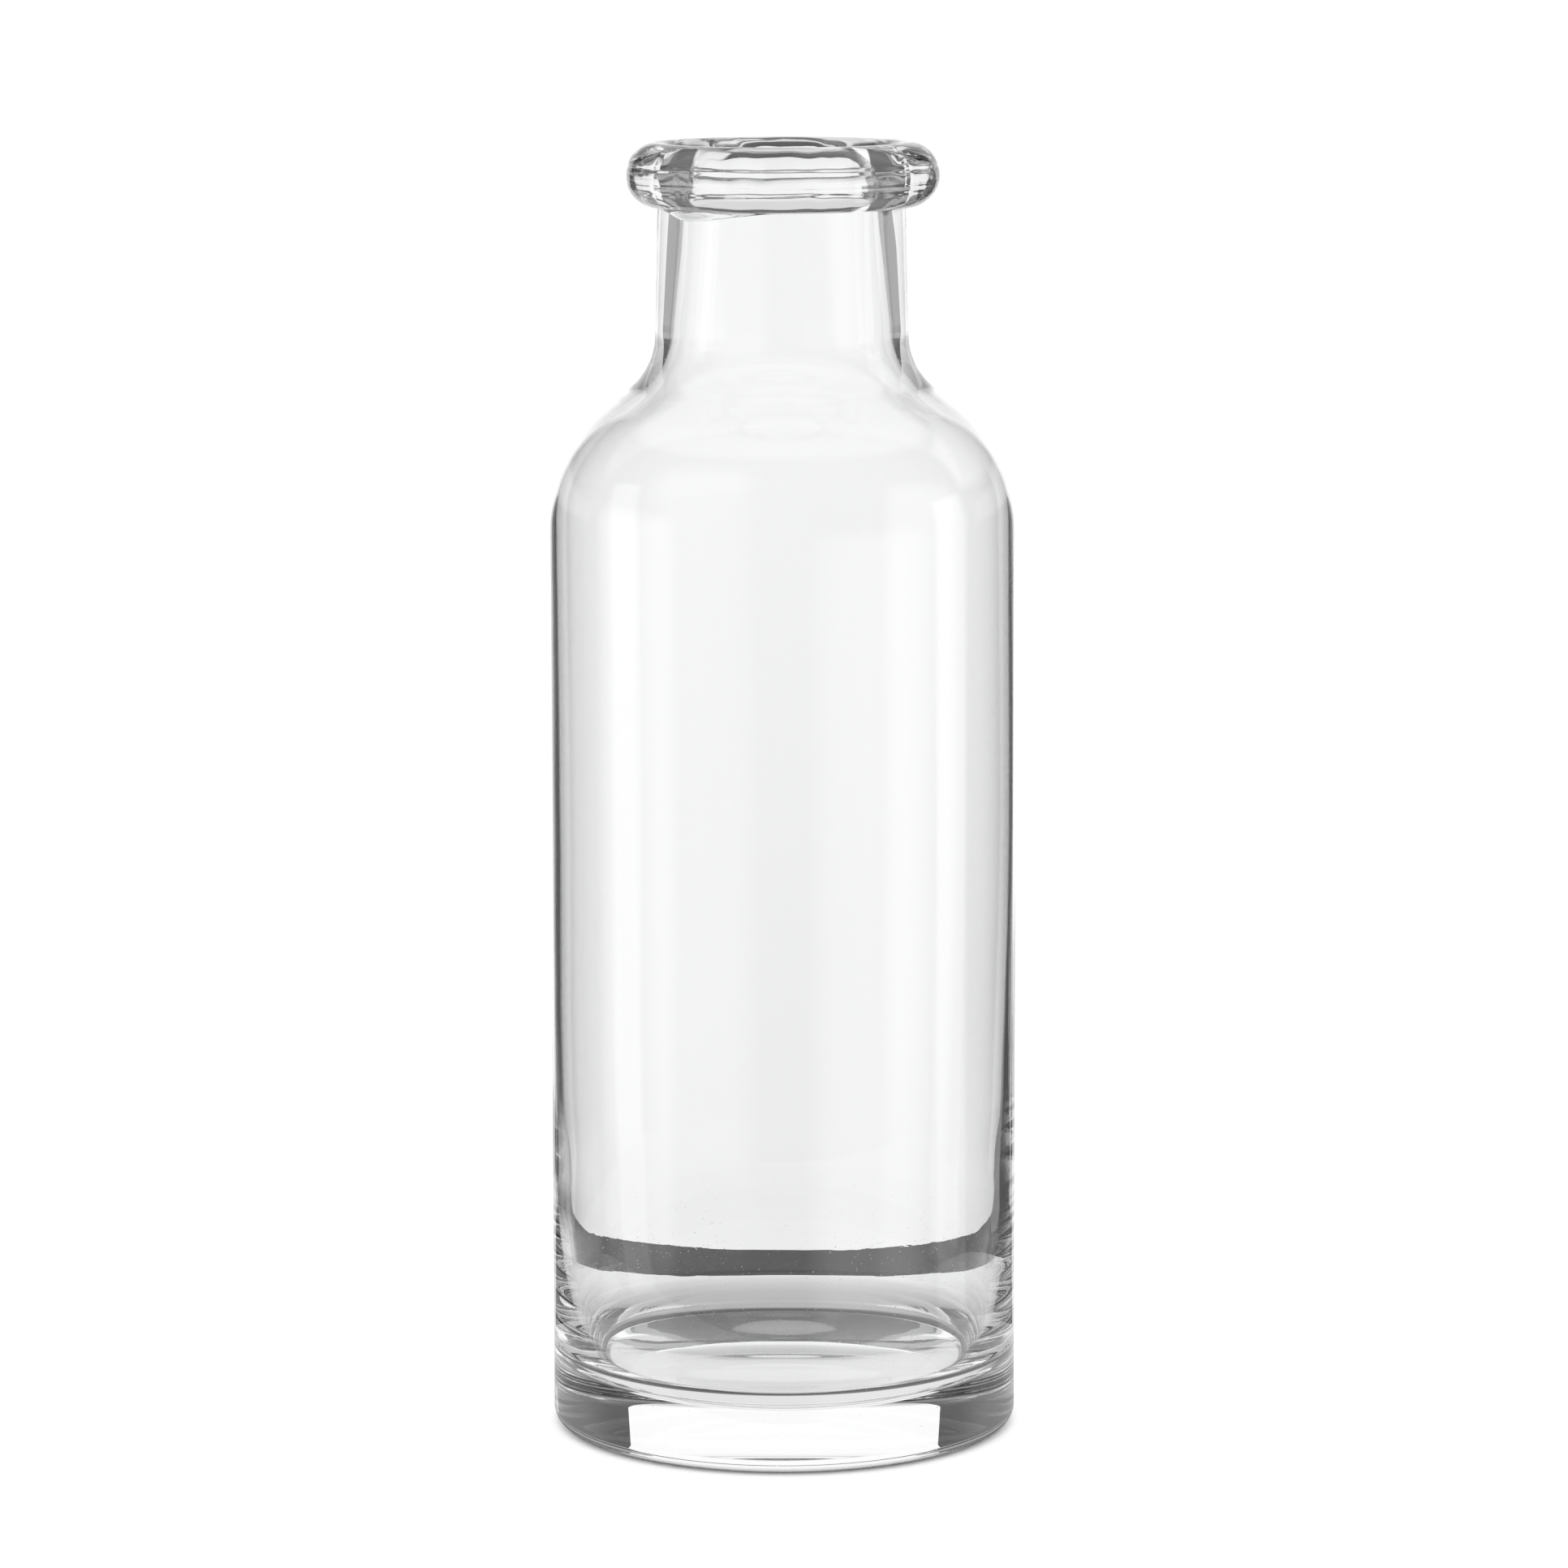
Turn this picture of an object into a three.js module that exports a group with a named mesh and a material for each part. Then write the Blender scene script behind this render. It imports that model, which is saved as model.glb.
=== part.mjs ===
// Bottle-shaped clear glass bud vase with a heavy base and a laid-on lip ring.
// Millimetres, +Z up, origin at the middle of the foot.
import * as THREE from 'three';

// Overall sizes
const totalHeight = 250;
const bodyRadius = 45.25;
const neckRadius = 24.4;

// Foot and heel
const heelRadius = 3;
const footRingWidth = 6;
const footHollowDepth = 0.5;

// Shoulder: a round turn in from the body, a short straight slope and a turn up into the neck
const shoulderStart = 177.2;
const shoulderRadius = 27.7;
const shoulderSlope = 5.9;
const neckFilletRadius = 13.1;
const neckTaper = 0.6;

// Lip: the bottle's own rounded mouth, and the half-round ring laid on round it as a separate piece
const lipSectionRadius = 6.2;
const rimRounding = 4.5;
const ringGap = 0.3;

// Glass thickness
const bodyWall = 1.6;
const wallAtNeckFoot = 3.2;
const wallAtNeckTop = 4.6;

// The wall thickens on its way down: height and wall
const wallSteps = [[120, 1.6], [98, 1.7], [80, 1.85], [63, 2.1], [47.6, 2.6]];

// The bowl in the base turns in from the wall to its flat middle: radius, degrees and facets of each turn
const bowlTurns = [[200, 7, 3], [70, 5, 2], [7, 60, 6], [112, 18, 5]];

// Facets
const facetsRound = 64;
const lipFacets = 9;
const curveFacets = 7;
const fineFacets = 4;

const quarterTurn = Math.PI / 2;
const neckTopRadius = neckRadius - neckTaper;
const lipHeight = totalHeight - lipSectionRadius;
const neckTop = lipHeight - lipSectionRadius;

// Points of an arc from one angle to another. The first is left out, so that runs join up.
function arc(centre, radius, from, to, steps) {
  return Array.from({ length: steps }, (_, i) => {
    const angle = from + ((to - from) * (i + 1)) / steps;
    return new THREE.Vector2(centre.x + radius * Math.cos(angle), centre.y + radius * Math.sin(angle));
  });
}

// One face of the shoulder, from the body's radius up to the neck's, upright at both ends.
// The lean is where the two arcs and the slope between them span the change of radius.
function shoulderCurve(lowRadius, highRadius, turnIn, turnUp) {
  const turns = turnIn + turnUp;
  const level = turns - (lowRadius - highRadius);
  const lean = Math.acos(level / Math.hypot(turns, shoulderSlope)) - Math.atan2(shoulderSlope, turns);
  const rise = turns * Math.sin(lean) + shoulderSlope * Math.cos(lean);
  const lowCentre = new THREE.Vector2(lowRadius - turnIn, shoulderStart);
  const highCentre = new THREE.Vector2(highRadius + turnUp, shoulderStart + rise);
  const slopeEnd = new THREE.Vector2(-Math.cos(lean), -Math.sin(lean)).multiplyScalar(turnUp).add(highCentre);
  return [
    new THREE.Vector2(lowRadius, shoulderStart),
    ...arc(lowCentre, turnIn, 0, lean, curveFacets),
    slopeEnd,
    ...arc(highCentre, turnUp, Math.PI + lean, Math.PI, curveFacets),
  ];
}

// Underside: a shallow hollow inside a flat foot ring, and the rounded heel
function footOutline() {
  const footOuter = bodyRadius - heelRadius;
  const footInner = footOuter - footRingWidth;
  const hollowRadius = (footInner ** 2 + footHollowDepth ** 2) / (2 * footHollowDepth);
  const hollowCentre = new THREE.Vector2(0, footHollowDepth - hollowRadius);
  const hollowAngle = Math.asin(footInner / hollowRadius);
  return [
    new THREE.Vector2(0, footHollowDepth),
    ...arc(hollowCentre, hollowRadius, quarterTurn, quarterTurn - hollowAngle, fineFacets),
    new THREE.Vector2(footOuter, 0),
    ...arc(new THREE.Vector2(footOuter, heelRadius), heelRadius, -quarterTurn, 0, fineFacets),
  ];
}

// Outside from the body up to the neck's top under the ring
function outsideOutline() {
  return [
    ...shoulderCurve(bodyRadius, neckRadius, shoulderRadius, neckFilletRadius),
    new THREE.Vector2(neckTopRadius, neckTop),
  ];
}

// The mouth's rounded edge, from the lip's top down to the bore
function lipOutline() {
  const centre = new THREE.Vector2(neckTopRadius, totalHeight - rimRounding);
  return [
    new THREE.Vector2(neckTopRadius, totalHeight),
    ...arc(centre, rimRounding, quarterTurn, Math.PI, lipFacets),
  ];
}

// The bore, the inside of the shoulder and the body's wall, from the top down
function insideOutline() {
  const boreFoot = neckRadius - wallAtNeckFoot;
  const innerBody = bodyRadius - bodyWall;
  const turnIn = shoulderRadius - bodyWall;
  const turnUp = neckFilletRadius + wallAtNeckFoot;
  return [
    new THREE.Vector2(neckTopRadius - wallAtNeckTop, neckTop),
    ...shoulderCurve(innerBody, boreFoot, turnIn, turnUp).reverse(),
    ...wallSteps.map(([height, wall]) => new THREE.Vector2(bodyRadius - wall, height)),
  ];
}

// The bowl in the base, from the wall's foot down to the middle of the floor
function bowlOutline() {
  const [startHeight, startWall] = wallSteps[wallSteps.length - 1];
  const points = [];
  let end = new THREE.Vector2(bodyRadius - startWall, startHeight);
  let lean = 0;
  for (const [radius, degrees, facets] of bowlTurns) {
    const turn = THREE.MathUtils.degToRad(degrees);
    const centre = new THREE.Vector2(end.x - radius * Math.cos(lean), end.y + radius * Math.sin(lean));
    points.push(...arc(centre, radius, -lean, -lean - turn, facets));
    end = points[points.length - 1];
    lean += turn;
  }
  return [...points, new THREE.Vector2(0, end.y)];
}

// The laid-on ring: the outer half of the bead, with a straight bore that wraps the neck's top
function ringOutline() {
  const centre = new THREE.Vector2(neckTopRadius + ringGap, lipHeight);
  const foot = new THREE.Vector2(centre.x, neckTop);
  return [foot, ...arc(centre, lipSectionRadius, -quarterTurn, quarterTurn, 2 * lipFacets), foot.clone()];
}

// A solid of revolution about +Z. The outline runs up the outside and down the inside.
function turned(name, outline) {
  const geometry = new THREE.LatheGeometry(outline, facetsRound);
  geometry.rotateX(quarterTurn);
  const glass = new THREE.MeshStandardMaterial({ color: 0xf2f5f5, roughness: 0.03, metalness: 0 });
  const mesh = new THREE.Mesh(geometry, glass);
  mesh.name = name;
  return mesh;
}

const vase = new THREE.Group();
const bottle = [...footOutline(), ...outsideOutline(), ...lipOutline(), ...insideOutline(), ...bowlOutline()];
vase.add(turned('bottle_body', bottle));
vase.add(turned('lip_ring', ringOutline()));

export default vase;
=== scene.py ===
import math

import bmesh
import bpy
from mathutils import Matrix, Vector, noise


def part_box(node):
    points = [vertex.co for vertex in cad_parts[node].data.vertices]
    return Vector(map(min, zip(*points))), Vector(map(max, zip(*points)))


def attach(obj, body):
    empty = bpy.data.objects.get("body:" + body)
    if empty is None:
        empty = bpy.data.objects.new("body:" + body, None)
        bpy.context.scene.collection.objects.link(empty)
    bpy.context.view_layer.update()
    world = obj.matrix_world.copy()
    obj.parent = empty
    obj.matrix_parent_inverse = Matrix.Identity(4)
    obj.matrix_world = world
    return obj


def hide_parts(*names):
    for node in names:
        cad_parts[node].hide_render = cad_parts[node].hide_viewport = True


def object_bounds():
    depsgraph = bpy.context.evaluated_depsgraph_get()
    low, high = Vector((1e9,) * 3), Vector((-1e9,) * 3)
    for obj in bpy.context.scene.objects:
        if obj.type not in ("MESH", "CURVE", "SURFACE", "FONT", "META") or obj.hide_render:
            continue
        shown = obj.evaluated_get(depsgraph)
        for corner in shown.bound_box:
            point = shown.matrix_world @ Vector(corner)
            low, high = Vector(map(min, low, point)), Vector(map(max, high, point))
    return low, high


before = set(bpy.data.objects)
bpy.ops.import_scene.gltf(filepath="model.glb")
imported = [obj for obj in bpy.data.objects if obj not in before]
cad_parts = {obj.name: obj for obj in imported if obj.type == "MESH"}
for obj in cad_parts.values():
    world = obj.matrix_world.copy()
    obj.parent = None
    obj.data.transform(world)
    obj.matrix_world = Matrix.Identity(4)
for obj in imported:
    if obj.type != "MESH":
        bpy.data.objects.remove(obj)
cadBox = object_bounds()

mm = 0.001
quarterTurn = math.pi / 2
vaseHeight = cadBox[1].z / mm
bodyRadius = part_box("bottle_body")[1].x / mm

# the blown and moulded bottle, in millimetres
bottle = {
    "heelRadius": 3.0,          # rounding where the side meets the foot
    "footRingWidth": 6.0,       # flat ring that it stands on
    "footHollow": 0.5,          # depth of the hollow inside that ring
    "shoulderStart": 177.2,     # height where the side begins to turn in
    "shoulderRadius": 27.7,
    "shoulderSlope": 5.9,       # short straight run between the two turns
    "neckRadius": 24.4,
    "neckFillet": 13.1,
    "neckTaper": 0.6,           # how much narrower the neck is at its top
    "lipSection": 6.2,          # radius of the round bead, seen in section
    "rimRounding": 4.5,         # rounding of the mouth's inner edge
    "bodyWall": 1.6,
    "neckFootWall": 3.2,
    "neckTopWall": 4.6,
    "wallSteps": ((120.0, 1.6), (98.0, 1.7), (80.0, 1.85), (63.0, 2.1), (47.6, 2.6)),  # height, wall
    "bowlTurns": ((200.0, 7.0), (70.0, 5.0), (7.0, 60.0), (112.0, 18.0)),  # radius, degrees
    # height, and how far the inside sits off the middle there, along x and y
    "wallDrift": (
        (10.0, 0.0, 0.0), (30.0, -0.1, 0.1), (60.0, -0.1, 0.1), (115.0, 0.22, 0.1), (190.0, 0.0, 0.0)),
    "sharpAngle": 40.0,         # edges sharper than this stay crisp
    "turnSteps": 256,
    # how finely each run of the outline is cut
    "hollowSteps": 10,
    "footSteps": 3,
    "heelSteps": 14,
    "sideSteps": 20,
    "shoulderSteps": 20,
    "slopeSteps": 2,
    "filletSteps": 16,
    "neckSteps": 6,
    "lipSteps": 4,
    "rimSteps": 24,
    "boreSteps": 8,
    "wallRunSteps": 4,
    "bowlSteps": 9,
    "floorSteps": 4,
}

print("frame loaded:", len(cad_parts), "CAD nodes, vase", round(vaseHeight, 1), "mm tall")


def startOutline(x, z):
    outline = bmesh.new()
    return outline, outline.verts.new((x, 0, z))


def lineTo(outline, tip, x, z, steps=1):
    run = (Vector((x, 0, z)) - tip.co) / steps
    for _ in range(steps):
        grown = bmesh.ops.extrude_vert_indiv(outline, verts=[tip])["verts"][0]
        bmesh.ops.translate(outline, verts=[grown], vec=run)
        tip = grown
    return tip


def arcTo(outline, tip, centreX, centreZ, turn, steps):
    # a turn to the left is positive, as on paper with x to the right and z up
    swept = bmesh.ops.spin(
        outline, geom=[tip], cent=(centreX, 0, centreZ), axis=(0, -1, 0), dvec=(0, 0, 0),
        angle=turn, steps=steps, use_merge=False)
    return [v for v in swept["geom_last"] if isinstance(v, bmesh.types.BMVert)][0]


def shoulderLean(lowRadius, highRadius, turnIn, turnUp):
    # the lean at which two turns and the slope between them span the change of radius
    turns = turnIn + turnUp
    level = turns - (lowRadius - highRadius)
    slope = bottle["shoulderSlope"]
    lean = math.acos(level / math.hypot(turns, slope)) - math.atan2(slope, turns)
    rise = turns * math.sin(lean) + slope * math.cos(lean)
    return lean, rise


def drawBottle():
    b = bottle
    footOuter = bodyRadius - b["heelRadius"]
    footInner = footOuter - b["footRingWidth"]
    hollowRadius = (footInner ** 2 + b["footHollow"] ** 2) / (2 * b["footHollow"])
    hollowTurn = math.asin(footInner / hollowRadius)
    neckTopRadius = b["neckRadius"] - b["neckTaper"]
    lipZ = vaseHeight - b["lipSection"]
    neckTop = lipZ - b["lipSection"]

    # underside, heel and side
    outline, tip = startOutline(0, b["footHollow"])
    tip = arcTo(outline, tip, 0, b["footHollow"] - hollowRadius, -hollowTurn, b["hollowSteps"])
    tip = lineTo(outline, tip, footOuter, 0, b["footSteps"])
    tip = arcTo(outline, tip, footOuter, b["heelRadius"], quarterTurn, b["heelSteps"])
    tip = lineTo(outline, tip, bodyRadius, b["shoulderStart"], b["sideSteps"])

    # shoulder and neck outside
    lean, rise = shoulderLean(bodyRadius, b["neckRadius"], b["shoulderRadius"], b["neckFillet"])
    tip = arcTo(
        outline, tip, bodyRadius - b["shoulderRadius"], b["shoulderStart"], lean, b["shoulderSteps"])
    filletX = b["neckRadius"] + b["neckFillet"]
    filletZ = b["shoulderStart"] + rise
    slopeEndX = filletX - b["neckFillet"] * math.cos(lean)
    slopeEndZ = filletZ - b["neckFillet"] * math.sin(lean)
    tip = lineTo(outline, tip, slopeEndX, slopeEndZ, b["slopeSteps"])
    tip = arcTo(outline, tip, filletX, filletZ, -lean, b["filletSteps"])
    tip = lineTo(outline, tip, neckTopRadius, neckTop, b["neckSteps"])

    # face under the ring, inner half of the bead, and the bore
    tip = lineTo(outline, tip, neckTopRadius, vaseHeight, b["lipSteps"])
    rimZ = vaseHeight - b["rimRounding"]
    tip = arcTo(outline, tip, neckTopRadius, rimZ, quarterTurn, b["rimSteps"])
    tip = lineTo(outline, tip, neckTopRadius - b["neckTopWall"], neckTop, b["boreSteps"])

    # shoulder inside, drawn from the neck down
    boreFoot = b["neckRadius"] - b["neckFootWall"]
    innerBody = bodyRadius - b["bodyWall"]
    turnIn = b["shoulderRadius"] - b["bodyWall"]
    turnUp = b["neckFillet"] + b["neckFootWall"]
    lean, rise = shoulderLean(innerBody, boreFoot, turnIn, turnUp)
    boreFootZ = b["shoulderStart"] + rise
    tip = lineTo(outline, tip, boreFoot, boreFootZ, b["neckSteps"])
    tip = arcTo(outline, tip, boreFoot + turnUp, boreFootZ, lean, b["filletSteps"])
    slopeEndX = innerBody - turnIn + turnIn * math.cos(lean)
    slopeEndZ = b["shoulderStart"] + turnIn * math.sin(lean)
    tip = lineTo(outline, tip, slopeEndX, slopeEndZ, b["slopeSteps"])
    tip = arcTo(outline, tip, innerBody - turnIn, b["shoulderStart"], -lean, b["shoulderSteps"])

    # wall inside, thicker on its way down to the bowl
    for height, wall in b["wallSteps"]:
        tip = lineTo(outline, tip, bodyRadius - wall, height, b["wallRunSteps"])
    lean = 0.0
    for radius, degrees in b["bowlTurns"]:
        bendX = tip.co.x - radius * math.cos(lean)
        bendZ = tip.co.z + radius * math.sin(lean)
        tip = arcTo(outline, tip, bendX, bendZ, -math.radians(degrees), b["bowlSteps"])
        lean += math.radians(degrees)
    lineTo(outline, tip, 0, tip.co.z, b["floorSteps"])
    return outline, neckTopRadius, neckTop


# the ring of hot glass laid round the neck's top
ring = {
    "fusedGap": 0.03,           # what is left between the two pieces, in millimetres
    "sectionSteps": 116,
    "boreSteps": 4,
    "turnSteps": 288,
    "waveHeight": 0.25,         # slow unevenness round the ring
    "waveCount": 3.2,
    "wavePitch": 6.0,
    "outward": (0.3, 3.0),      # the unevenness grows between these distances from the joint
    "offMiddle": 0.23,          # how far it is laid to the right
    "cordHeight": 0.014,        # fine cords drawn round it
    "cordPitch": 1.5,
    "cordCount": 1.6,
    "cordPlace": (3.1, 7.7),
    # laps of the wound trail: height, depth, width, how far it wanders
    "laps": ((245.5, 0.13, 0.5, 0.35), (242.3, 0.05, 0.3, 0.5), (241.0, 0.03, 0.35, 0.6)),
    "tailDip": 1.7,             # the trail's end, drawn out under the ring at the front left
    "tailFrom": -68.0,          # degrees round the neck, 0 at the front
    "tailTo": 2.0,
    "tailPeak": -48.0,
    "tailBelow": 0.55,          # share of the section where it begins, below the middle
    "tailOutward": (0.8, 1.7),
}


def drawRing(neckTopRadius, neckTop):
    lipZ = vaseHeight - bottle["lipSection"]
    face = neckTopRadius + ring["fusedGap"]
    outline, tip = startOutline(face, neckTop)
    tip = arcTo(outline, tip, face, lipZ, math.pi, ring["sectionSteps"])
    lineTo(outline, tip, face, neckTop, ring["boreSteps"])
    return outline


# the joint between the two pieces, in millimetres
joint = {
    "mergeDistance": 0.0001,    # points nearer than this become one
    "slant": 0.1,               # a face of the joint is at least this upright
    "within": 0.2,              # and this near the joint's radius
}


def turnPiece(outline, steps):
    bmesh.ops.spin(
        outline, geom=outline.verts[:] + outline.edges[:], cent=(0, 0, 0), axis=(0, 0, 1),
        dvec=(0, 0, 0), angle=2 * math.pi, steps=steps, use_merge=True)
    bmesh.ops.remove_doubles(outline, verts=outline.verts, dist=joint["mergeDistance"])
    bmesh.ops.recalc_face_normals(outline, faces=outline.faces)
    return outline


def markFusedFaces(shape, radius, low):
    # the faces where the two pieces are melted into each other
    for face in shape.faces:
        centre = face.calc_center_median()
        upright = abs(face.normal.z) < joint["slant"]
        near = abs(math.hypot(*centre.xy) - radius) < joint["within"]
        face.material_index = int(upright and centre.z > low and near)


def finishPiece(shape, name, node, materials):
    bmesh.ops.scale(shape, vec=(mm, mm, mm), verts=shape.verts)
    for face in shape.faces:
        face.smooth = True
    for edge in shape.edges:
        if len(edge.link_faces) == 2:
            edge.smooth = edge.calc_face_angle() < math.radians(bottle["sharpAngle"])
    mesh = bpy.data.meshes.new(name)
    shape.to_mesh(mesh)
    shape.free()
    piece = bpy.data.objects.new(name, mesh)
    bpy.context.scene.collection.objects.link(piece)
    for material in materials:
        mesh.materials.append(material)
    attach(piece, "root")
    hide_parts(node)
    print(name, "made:", len(mesh.polygons), "faces")


def smoothBetween(value, low, high):
    share = min(1.0, max(0.0, (value - low) / (high - low)))
    return share * share * (3 - 2 * share)


def driftInside(shape):
    # the inside of the body never sits quite true to the outside
    steps = bottle["wallDrift"]
    for v in shape.verts:
        radius = math.hypot(v.co.x, v.co.y)
        if radius > bodyRadius - bottle["bodyWall"] / 2:
            continue
        for (low, lowX, lowY), (high, highX, highY) in zip(steps, steps[1:]):
            if low < v.co.z <= high:
                share = smoothBetween(v.co.z, low, high)
                v.co.x += lowX + (highX - lowX) * share
                v.co.y += lowY + (highY - lowY) * share
                break


def unevenRing(shape, neckTopRadius):
    lipZ = vaseHeight - bottle["lipSection"]
    section = bottle["lipSection"]
    for v in shape.verts:
        radius = math.hypot(v.co.x, v.co.y)
        outward = radius - neckTopRadius
        share = smoothBetween(outward, *ring["outward"])
        angle = math.atan2(v.co.x, -v.co.y)
        around = Vector((math.sin(angle), math.cos(angle), 0))
        slow = noise.noise(around * ring["waveCount"] + Vector((0, 0, v.co.z / ring["wavePitch"])))
        cordPlace = Vector((*ring["cordPlace"], v.co.z / ring["cordPitch"]))
        cord = noise.noise(around * ring["cordCount"] + cordPlace)
        push = ring["waveHeight"] * slow + ring["cordHeight"] * cord
        for height, depth, width, wander in ring["laps"]:
            stray = noise.noise(around * ring["cordCount"] + Vector((height, 0, 0)))
            push -= depth * math.exp(-((v.co.z - height - wander * stray) / width) ** 2)
        push *= share
        direction = Vector((outward * v.co.x / radius, outward * v.co.y / radius, v.co.z - lipZ))
        v.co += direction.normalized() * push
        v.co.x += ring["offMiddle"] * share
        # the drawn-out end of the trail
        turn = math.degrees(angle)
        rising = smoothBetween(turn, ring["tailFrom"], ring["tailPeak"])
        falling = 1 - smoothBetween(turn, ring["tailPeak"], ring["tailTo"])
        under = smoothBetween(lipZ - v.co.z, section * ring["tailBelow"], section)
        under *= 1 - smoothBetween(outward, *ring["tailOutward"])
        v.co.z -= ring["tailDip"] * rising * falling * under


# tool marks inside the mouth, in millimetres
mouth = {"height": 0.16, "count": 6.0, "pitch": 4.0, "below": 3.0, "inward": (0.4, 2.5)}


def unevenMouth(shape, neckTopRadius, neckTop):
    # the inside of the mouth keeps the marks of the tool
    for v in shape.verts:
        radius = math.hypot(v.co.x, v.co.y)
        share = smoothBetween(v.co.z, neckTop - mouth["below"], neckTop + mouth["below"])
        share *= smoothBetween(neckTopRadius - radius, *mouth["inward"])
        if share > 0:
            around = Vector((v.co.x / radius, v.co.y / radius, v.co.z / mouth["pitch"]))
            marks = noise.noise(Vector((around.x * mouth["count"], around.y * mouth["count"], around.z)))
            push = mouth["height"] * marks * share / radius
            v.co.x += v.co.x * push
            v.co.y += v.co.y * push


# clear soda glass, in metres
glass = {
    "tint": (0.995, 0.998, 0.997, 1.0),
    "ior": 1.5,
    "wobbleScale": 38.0,
    "wobbleDetail": 1.0,
    "wobbleHeight": 0.000012,
    "cordScale": (30.0, 30.0, 900.0),   # drawn out round the axis, fine along it
    "cordDetail": 2.0,
    "specks": 620.0,
    "speckSize": 0.10,
    "speckCore": 0.5,           # share of a speck's size that is fully dull
    "speckRoughness": 0.35,
    "speckFull": 0.4,           # share of the specks' height below which all of them show
}
bottleFinish = {"cordHeight": 0.0000015, "speckTop": 0.07, "roughness": 0.0}
ringFinish = {"cordHeight": 0.000004, "speckTop": 0.5, "roughness": 0.06}


def addNode(tree, kind, **settings):
    node = tree.nodes.new(kind)
    for name, value in settings.items():
        setattr(node, name, value)
    return node


def link(tree, source, target):
    tree.links.new(source, target)


def mathNode(tree, operation, *values):
    node = addNode(tree, "ShaderNodeMath", operation=operation)
    for i, value in enumerate(values):
        if isinstance(value, (int, float)):
            node.inputs[i].default_value = value
        else:
            link(tree, value, node.inputs[i])
    return node.outputs[0]


def rangeNode(tree, value, start, end, low=0.0, high=1.0, kind="SMOOTHSTEP"):
    node = addNode(tree, "ShaderNodeMapRange", interpolation_type=kind)
    node.inputs["From Min"].default_value = start
    node.inputs["From Max"].default_value = end
    node.inputs["To Min"].default_value = low
    node.inputs["To Max"].default_value = high
    link(tree, value, node.inputs["Value"])
    return node.outputs["Result"]


def newMaterial(name):
    material = bpy.data.materials.new(name)
    material.use_nodes = True
    return material, material.node_tree


def glassMaterial(name, finish):
    material, tree = newMaterial(name)
    shader = tree.nodes["Principled BSDF"]
    shader.inputs["Base Color"].default_value = glass["tint"]
    shader.inputs["IOR"].default_value = glass["ior"]
    shader.inputs["Transmission Weight"].default_value = 1.0
    place = addNode(tree, "ShaderNodeTexCoord").outputs["Object"]

    # slow wobble of the surface
    wobble = addNode(tree, "ShaderNodeTexNoise")
    wobble.inputs["Scale"].default_value = glass["wobbleScale"]
    wobble.inputs["Detail"].default_value = glass["wobbleDetail"]
    link(tree, place, wobble.inputs["Vector"])
    bump = addNode(tree, "ShaderNodeBump")
    bump.inputs["Strength"].default_value = 1.0
    bump.inputs["Distance"].default_value = glass["wobbleHeight"]
    link(tree, wobble.outputs["Fac"], bump.inputs["Height"])

    # cords, drawn out round the axis
    stretch = addNode(tree, "ShaderNodeMapping")
    stretch.inputs["Scale"].default_value = glass["cordScale"]
    link(tree, place, stretch.inputs["Vector"])
    cords = addNode(tree, "ShaderNodeTexNoise")
    cords.inputs["Scale"].default_value = 1.0
    cords.inputs["Detail"].default_value = glass["cordDetail"]
    link(tree, stretch.outputs["Vector"], cords.inputs["Vector"])
    cordBump = addNode(tree, "ShaderNodeBump")
    cordBump.inputs["Strength"].default_value = 1.0
    cordBump.inputs["Distance"].default_value = finish["cordHeight"]
    link(tree, cords.outputs["Fac"], cordBump.inputs["Height"])
    link(tree, bump.outputs["Normal"], cordBump.inputs["Normal"])
    link(tree, cordBump.outputs["Normal"], shader.inputs["Normal"])

    # dust that has settled on it, mostly low down
    cells = addNode(tree, "ShaderNodeTexVoronoi")
    cells.inputs["Scale"].default_value = glass["specks"]
    link(tree, place, cells.inputs["Vector"])
    speck = rangeNode(
        tree, cells.outputs["Distance"], glass["speckSize"], glass["speckSize"] * glass["speckCore"],
        finish["roughness"], glass["speckRoughness"], "LINEAR")
    height = addNode(tree, "ShaderNodeSeparateXYZ")
    link(tree, place, height.inputs["Vector"])
    low = rangeNode(
        tree, height.outputs["Z"], finish["speckTop"], finish["speckTop"] * glass["speckFull"])
    link(tree, mathNode(tree, "MULTIPLY", speck, low), shader.inputs["Roughness"])
    return material


def fusedMaterial():
    # inside the fused joint there is no surface, so light goes straight on
    material, tree = newMaterial("fusedJoint")
    tree.nodes["Principled BSDF"].inputs["Alpha"].default_value = 0.0
    return material


bottleGlassFinish = glassMaterial("clearGlass", bottleFinish)
ringGlassFinish = glassMaterial("ringGlass", ringFinish)
fusedJoint = fusedMaterial()

shape, neckTopRadius, neckTop = drawBottle()
turnPiece(shape, bottle["turnSteps"])
markFusedFaces(shape, neckTopRadius, neckTop)
driftInside(shape)
unevenMouth(shape, neckTopRadius, neckTop)
finishPiece(shape, "bottleGlass", "bottle_body", [bottleGlassFinish, fusedJoint])

shape = turnPiece(drawRing(neckTopRadius, neckTop), ring["turnSteps"])
markFusedFaces(shape, neckTopRadius + ring["fusedGap"], neckTop)
unevenRing(shape, neckTopRadius)
finishPiece(shape, "lipRing", "lip_ring", [ringGlassFinish, fusedJoint])

# floor, and a glowing sheet under the foot that only the glass sees. Its glow is painted light and shade of
# the floor: a pool of light under the foot, painted shade beside it, and a painted shadow ring at the foot's
# edge
floor = {"size": 4.0, "below": 0.0002, "colour": (0.9, 0.9, 0.9, 1.0), "roughness": 0.9}
sheet = {
    "halfWidth": 0.14,
    "halfDepth": 0.082,
    "segments": 96,
    "below": 0.0001,
    "underFoot": 0.82,          # painted light: how bright it is under the foot where light comes through the glass, beside it in painted shade, and at its rim
    "besideFoot": 0.45,
    "rim": 0.85,
    "footRadius": 0.043,
    "shadowReach": (0.0017, 0.0032),  # painted shadow of the foot, to each side of the foot's radius
    "shadowLeft": 0.2,
}


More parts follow.
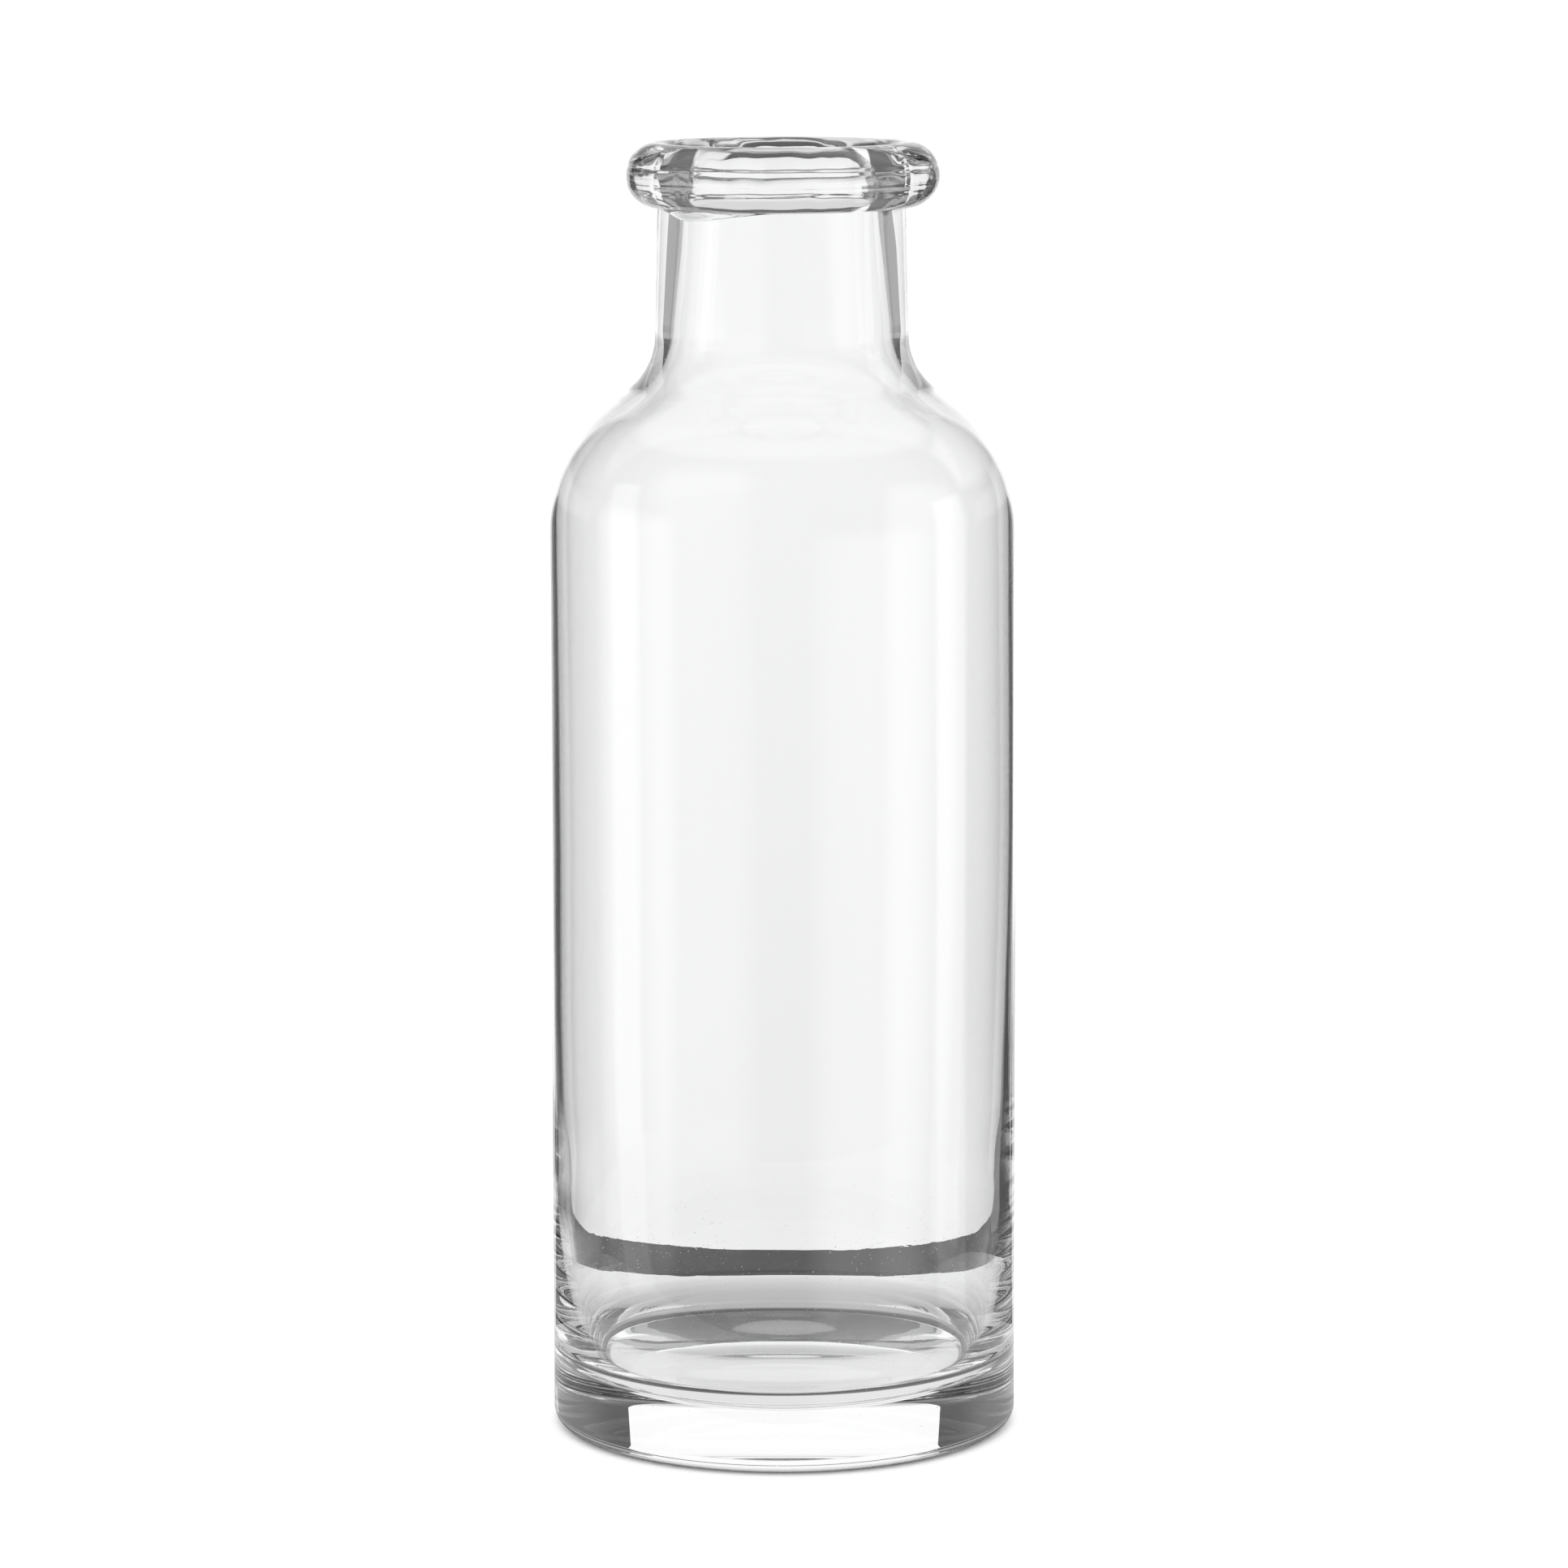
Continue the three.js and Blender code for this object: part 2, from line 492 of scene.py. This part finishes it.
def flatPiece(name, shape, drop, material):
    mesh = bpy.data.meshes.new(name)
    bmesh.ops.translate(shape, verts=shape.verts, vec=(0, 0, -drop))
    shape.to_mesh(mesh)
    shape.free()
    mesh.materials.append(material)
    piece = bpy.data.objects.new(name, mesh)
    bpy.context.scene.collection.objects.link(piece)
    return piece


floorFinish, tree = newMaterial("paleFloor")
tree.nodes["Principled BSDF"].inputs["Base Color"].default_value = floor["colour"]
tree.nodes["Principled BSDF"].inputs["Roughness"].default_value = floor["roughness"]
shape = bmesh.new()
bmesh.ops.create_grid(shape, x_segments=1, y_segments=1, size=floor["size"])
studioFloor = flatPiece("studioFloor", shape, floor["below"], floorFinish)
studioFloor.visible_transmission = False
studioFloor.visible_glossy = False

# its glow is painted light: brighter under the foot, painted shade beside it, and a painted shadow ring at
# the foot's edge
paintedFloorLightFinish, tree = newMaterial("paintedFloorLight")
glow = addNode(tree, "ShaderNodeEmission")
length = addNode(tree, "ShaderNodeVectorMath", operation="LENGTH")
link(tree, addNode(tree, "ShaderNodeTexCoord").outputs["Object"], length.inputs[0])
fromMiddle = length.outputs["Value"]
outer = rangeNode(
    tree, fromMiddle, sheet["footRadius"], sheet["halfDepth"], sheet["besideFoot"], sheet["rim"], "LINEAR")
onFoot = mathNode(tree, "LESS_THAN", fromMiddle, sheet["footRadius"])
brighter = mathNode(tree, "MULTIPLY", onFoot, sheet["underFoot"] - sheet["besideFoot"])
plain = mathNode(tree, "ADD", outer, brighter)
fromEdge = mathNode(tree, "ABSOLUTE", mathNode(tree, "SUBTRACT", fromMiddle, sheet["footRadius"]))
# painted shadow of the foot: darkens the glow in a ring round the foot's edge
shadow = rangeNode(tree, fromEdge, *sheet["shadowReach"], sheet["shadowLeft"], 1.0)
link(tree, mathNode(tree, "MULTIPLY", plain, shadow), glow.inputs["Strength"])
link(tree, glow.outputs[0], tree.nodes["Material Output"].inputs["Surface"])
shape = bmesh.new()
bmesh.ops.create_circle(shape, cap_ends=True, segments=sheet["segments"], radius=1)
bmesh.ops.scale(shape, vec=(sheet["halfWidth"], sheet["halfDepth"], 1), verts=shape.verts)
paintedFloorLight = flatPiece("paintedFloorLight", shape, sheet["below"], paintedFloorLightFinish)
paintedFloorLight.visible_camera = False
paintedFloorLight.visible_diffuse = False

# studio: one tall light panel behind the vase, and soft windows in a grey room for the other sides
panel = {
    "distance": 1.0,
    "rows": ((-0.282, 0.20), (-0.222, 0.40), (0.06, 0.42), (0.18, 0.56), (0.9, 0.56)),  # height, half width
    "dimBelow": -0.23,          # its glow grows from here
    "fullAbove": 0.11,          # to here
    "glow": (0.95, 1.03),
    "dimFrom": 0.32,            # and dims again above this height
    "dimTo": 0.6,
    "dimShare": 0.7,
}

studio = {
    "room": 0.085,
    "roomFar": 0.15,
    "aheadFrom": 0.62,          # the room is darkest straight behind the vase
    "aheadTo": 0.8,
    "downFrom": -0.62,          # and bright where it is looked at steeply down, like a pale floor
    "downTo": -0.75,
    "downGlow": 0.8,
    "backdrop": 1.05,
    "floorLight": 1.9,
    "leastAhead": 0.0001,       # keeps a window's slopes finite at its sides
    # towards: the way it is looked at, as a view's azimuth. Widths and heights are slopes seen from the vase.
    "windows": (
        {"towards": 0, "width": 3, "low": 1.1, "high": 9.0, "soft": 0.02, "glow": 0.45},
        {"towards": 48, "width": 0.4, "low": 0.0, "high": 0.17, "soft": 0.03, "glow": 0.4},
        {"towards": 312, "width": 0.4, "low": 0.0, "high": 0.17, "soft": 0.03, "glow": 0.4},
        {"towards": 45, "width": 0.5, "low": -0.85, "high": -0.3, "soft": 0.08, "glow": 1.0},
        {"towards": 101, "width": 0.42, "low": -0.35, "high": 0.2, "soft": 0.15, "glow": 0.95},
        {"towards": 272, "width": 0.18, "low": -0.35, "high": 0.3, "soft": 0.04, "glow": 1.1},
        {"towards": 225, "width": 0.55, "low": -0.65, "high": 0.0, "soft": 0.3, "glow": 0.95},
    ),
}

panelFinish, tree = newMaterial("lightPanel")
split = addNode(tree, "ShaderNodeSeparateXYZ")
link(tree, addNode(tree, "ShaderNodeTexCoord").outputs["Object"], split.inputs["Vector"])
grow = rangeNode(tree, split.outputs["Z"], panel["dimBelow"], panel["fullAbove"], *panel["glow"], "LINEAR")
fade = rangeNode(tree, split.outputs["Z"], panel["dimFrom"], panel["dimTo"], 1.0, panel["dimShare"])
glow = addNode(tree, "ShaderNodeEmission")
link(tree, mathNode(tree, "MULTIPLY", grow, fade), glow.inputs["Strength"])
link(tree, glow.outputs[0], tree.nodes["Material Output"].inputs["Surface"])
shape, tip = startOutline(0, panel["rows"][0][0])
for height, _ in panel["rows"][1:]:
    tip = lineTo(shape, tip, 0, height)
rowVerts = sorted(shape.verts, key=lambda v: v.co.z)
made = bmesh.ops.extrude_edge_only(shape, edges=shape.edges[:])["geom"]
otherVerts = sorted((v for v in made if isinstance(v, bmesh.types.BMVert)), key=lambda v: v.co.z)
for (height, halfWidth), left, right in zip(panel["rows"], rowVerts, otherVerts):
    bmesh.ops.translate(shape, verts=[left], vec=(-halfWidth, panel["distance"], 0))
    bmesh.ops.translate(shape, verts=[right], vec=(halfWidth, panel["distance"], 0))
lightPanel = flatPiece("lightPanel", shape, 0, panelFinish)
lightPanel.visible_camera = False
lightPanel.visible_diffuse = False


def windowLight(tree, x, y, z, window):
    soft = window["soft"]
    angle = math.radians(window["towards"])
    dx, dy = -math.sin(angle), math.cos(angle)
    ahead = mathNode(tree, "ADD", mathNode(tree, "MULTIPLY", x, dx), mathNode(tree, "MULTIPLY", y, dy))
    aside = mathNode(tree, "SUBTRACT", mathNode(tree, "MULTIPLY", x, dy), mathNode(tree, "MULTIPLY", y, dx))
    ahead = mathNode(tree, "MAXIMUM", ahead, studio["leastAhead"])
    across = mathNode(tree, "DIVIDE", mathNode(tree, "ABSOLUTE", aside), ahead)
    up = mathNode(tree, "DIVIDE", z, ahead)
    within = rangeNode(tree, across, window["width"] - soft, window["width"] + soft, 1.0, 0.0)
    above = rangeNode(tree, up, window["low"] - soft, window["low"] + soft)
    below = rangeNode(tree, up, window["high"] - soft, window["high"] + soft, 1.0, 0.0)
    mask = mathNode(tree, "MULTIPLY", within, mathNode(tree, "MULTIPLY", above, below))
    return mathNode(tree, "MULTIPLY", mask, window["glow"])


def makeStudio():
    world = bpy.data.worlds.new("studio")
    bpy.context.scene.world = world
    world.use_nodes = True
    tree = world.node_tree
    tree.nodes.clear()
    direction = addNode(tree, "ShaderNodeTexCoord").outputs["Generated"]
    split = addNode(tree, "ShaderNodeSeparateXYZ")
    link(tree, direction, split.inputs["Vector"])
    x, y, z = split.outputs
    light = rangeNode(tree, y, studio["aheadFrom"], studio["aheadTo"], studio["roomFar"], studio["room"])
    down = rangeNode(tree, z, studio["downFrom"], studio["downTo"], 0.0, studio["downGlow"])
    light = mathNode(tree, "MAXIMUM", light, down)
    for window in studio["windows"]:
        light = mathNode(tree, "MAXIMUM", light, windowLight(tree, x, y, z, window))
    path = addNode(tree, "ShaderNodeLightPath")

    def background(strength):
        node = addNode(tree, "ShaderNodeBackground")
        node.inputs["Color"].default_value = (1, 1, 1, 1)
        if isinstance(strength, (int, float)):
            node.inputs["Strength"].default_value = strength
        else:
            link(tree, strength, node.inputs["Strength"])
        return node.outputs[0]

    def choose(factor, first, second):
        node = addNode(tree, "ShaderNodeMixShader")
        link(tree, factor, node.inputs[0])
        link(tree, first, node.inputs[1])
        link(tree, second, node.inputs[2])
        return node.outputs[0]

    seen = choose(path.outputs["Is Diffuse Ray"], background(light), background(studio["floorLight"]))
    seen = choose(path.outputs["Is Camera Ray"], seen, background(studio["backdrop"]))
    link(tree, seen, addNode(tree, "ShaderNodeOutputWorld").inputs["Surface"])


makeStudio()
print("studio made:", len(studio["windows"]), "windows")

# camera
view = {
    "distance": 1.151,
    "height": 0.3007,
    "tilt": 8.635,
    "roll": 0.135,
    "lens": 137.65,
    "sensor": 36.0,
    "shift": 0.0021,
    "clipEnd": 100.0,
    "lightBounces": 32,         # clear glass needs long light paths
}
cameraData = bpy.data.cameras.new("studioCamera")
cameraData.sensor_width = view["sensor"]
cameraData.lens = view["lens"]
cameraData.shift_x = view["shift"]
cameraData.clip_end = view["clipEnd"]
camera = bpy.data.objects.new("studioCamera", cameraData)
camera.location = (0, -view["distance"], view["height"])
camera.rotation_euler = (math.radians(90 - view["tilt"]), math.radians(view["roll"]), 0)
bpy.context.scene.collection.objects.link(camera)
bpy.context.scene.camera = camera

# plain tones, and every kind of light path as long as the glass needs
bpy.context.scene.view_settings.view_transform = "Standard"
bpy.context.scene.cycles.max_bounces = view["lightBounces"]
bpy.context.scene.cycles.transmission_bounces = view["lightBounces"]
bpy.context.scene.cycles.glossy_bounces = view["lightBounces"]
bpy.context.scene.cycles.transparent_max_bounces = view["lightBounces"]
